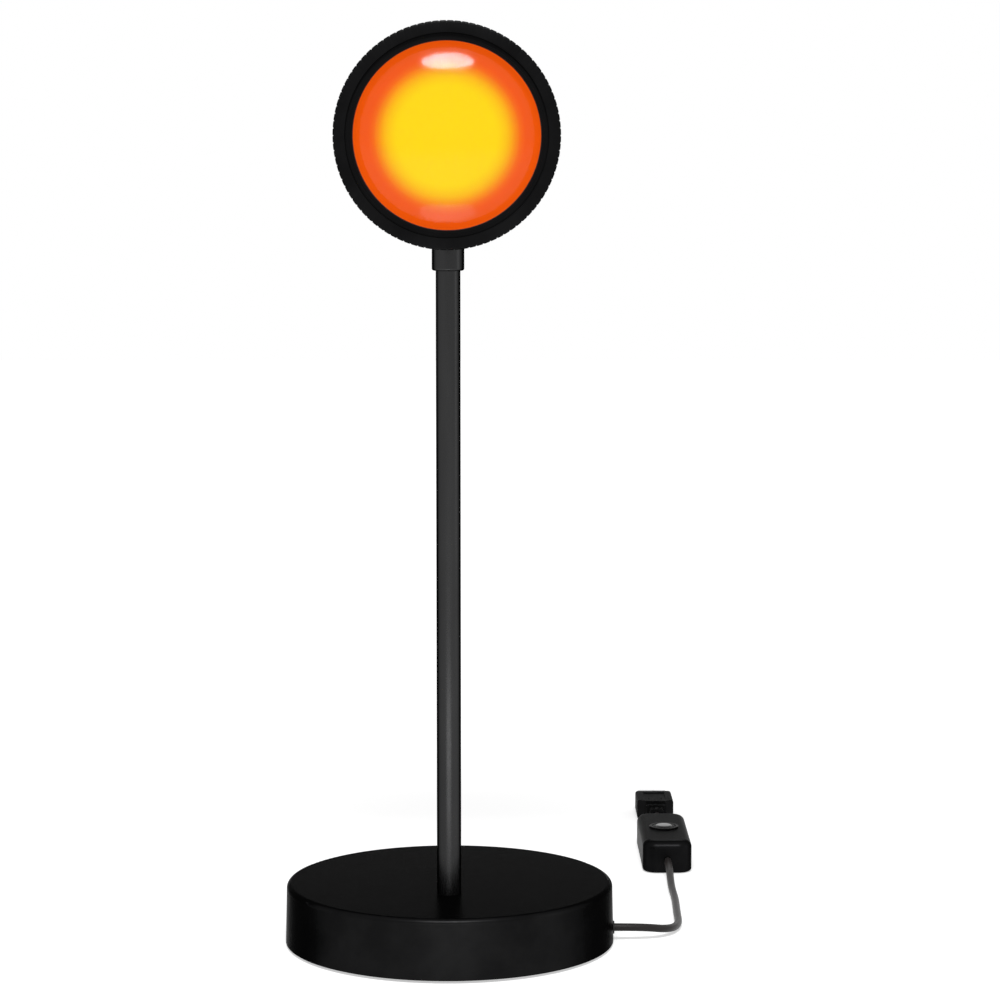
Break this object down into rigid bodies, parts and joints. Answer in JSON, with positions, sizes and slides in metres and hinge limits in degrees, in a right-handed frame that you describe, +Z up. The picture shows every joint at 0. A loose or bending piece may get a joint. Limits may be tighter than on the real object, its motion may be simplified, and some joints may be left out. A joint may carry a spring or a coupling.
{
  "type": "table lamp",
  "caption": "Projection table lamp: disc base, thin pole, swivel and tilt head with a big lens in a knurled focus ring, USB cord with a push switch.",
  "frame": {"origin": "on the floor under the middle of the round base", "axes": "+Z up along the pole, -Y the way the lens faces at rest, +X to the side where the cord leaves the base"},
  "size_m": [0.1521, 0.292, 0.324],
  "materials": {
    "black_powder_steel": "satin powder coat",
    "black_anodised": "satin black anodised",
    "bare_aluminium": "dark anodised, turned",
    "weight_iron": "as cast",
    "zinc_steel": "zinc plated",
    "plug_steel": "bright nickel plate",
    "brass_parts": "turned",
    "foam_rubber": "matte",
    "cord_sheath": "matte flexible vinyl",
    "plug_vinyl": "satin moulded",
    "switch_plastic": "satin moulded",
    "bezel_plastic": "satin",
    "button_plastic": "gloss",
    "inner_plastic": "matte white",
    "clip_plastic": "matte",
    "emitter_phosphor": "matte yellow",
    "lens_glass": "polished clear",
    "sunset_filter": "orange at the rim, yellow in the middle"
  },
  "bodies": {
    "base": {"foot_pad": "foam_rubber", "bottom_plate": "zinc_steel", "plate_screws": "zinc_steel", "base_weight": "weight_iron", "base_shell": "black_powder_steel", "cord_grommet": "foam_rubber", "cord_tail": "cord_sheath", "cord_clip": "clip_plastic", "clip_screw": "zinc_steel", "pole_tube": "black_powder_steel", "pole_washer": "zinc_steel", "pole_nut": "zinc_steel", "swivel_bush": "brass_parts", "lamp_lead": "cord_sheath", "cord_lower": "cord_sheath", "cord_upper": "cord_sheath", "switch_base": "switch_plastic", "switch_cover": "switch_plastic", "switch_board": "clip_plastic", "latch_block": "clip_plastic", "switch_bezel": "bezel_plastic", "switch_screws": "zinc_steel", "switch_spring": "zinc_steel", "plug_relief": "plug_vinyl", "plug_body": "plug_vinyl", "plug_shell": "plug_steel", "plug_tongue": "inner_plastic", "plug_contacts": "brass_parts"},
    "neck": {"swivel_collar": "black_powder_steel", "swivel_washer": "zinc_steel", "tilt_fork": "black_powder_steel", "pivot_screw": "zinc_steel", "pivot_nut": "zinc_steel", "friction_washers": "zinc_steel"},
    "head": {"barrel": "black_anodised", "heat_sink": "bare_aluminium", "heat_sink_screws": "zinc_steel", "led_board": "inner_plastic", "board_screws": "zinc_steel", "led_emitter": "emitter_phosphor", "condenser_holder": "inner_plastic", "condenser_lens": "lens_glass", "head_lead": "cord_sheath"},
    "lens_cell": {"lens_carrier": "black_anodised", "colour_filter": "sunset_filter", "front_lens": "lens_glass", "lens_gasket": "foam_rubber", "lens_retainer": "black_anodised"},
    "ring": {"focus_ring": "black_anodised", "snap_ring": "zinc_steel"},
    "button": {"switch_button": "button_plastic"}
  },
  "joints": [
    {"name": "head_pan", "type": "hinge", "parent": "base", "child": "neck", "pos_m": [0, -0.019, 0.2444], "axis": [0, 0, 1], "range_deg": [-165, 165]},
    {"name": "head_tilt", "type": "hinge", "parent": "neck", "child": "head", "pos_m": [0, -0.019, 0.2545], "axis": [1, 0, 0], "range_deg": [-90, 40]},
    {"name": "lens_slide", "type": "slide", "parent": "head", "child": "lens_cell", "axis": [0, -1, 0], "range_m": [0, 0.003]},
    {"name": "ring_turn", "type": "hinge", "parent": "lens_cell", "child": "ring", "pos_m": [0, -0.019, 0.286], "axis": [0, -1, 0], "range_deg": [0, 270]},
    {"name": "switch_press", "type": "slide", "parent": "base", "child": "button", "axis": [0, 0, -1], "range_m": [0, 0.0015], "stiffness_N_per_m": 400, "springref_m": -0.001, "deforming": ["switch_spring"]}
  ],
  "couplings": [
    {"joint": "lens_slide", "follows": "ring_turn", "m_per_rad": 0.0006366}
  ]
}
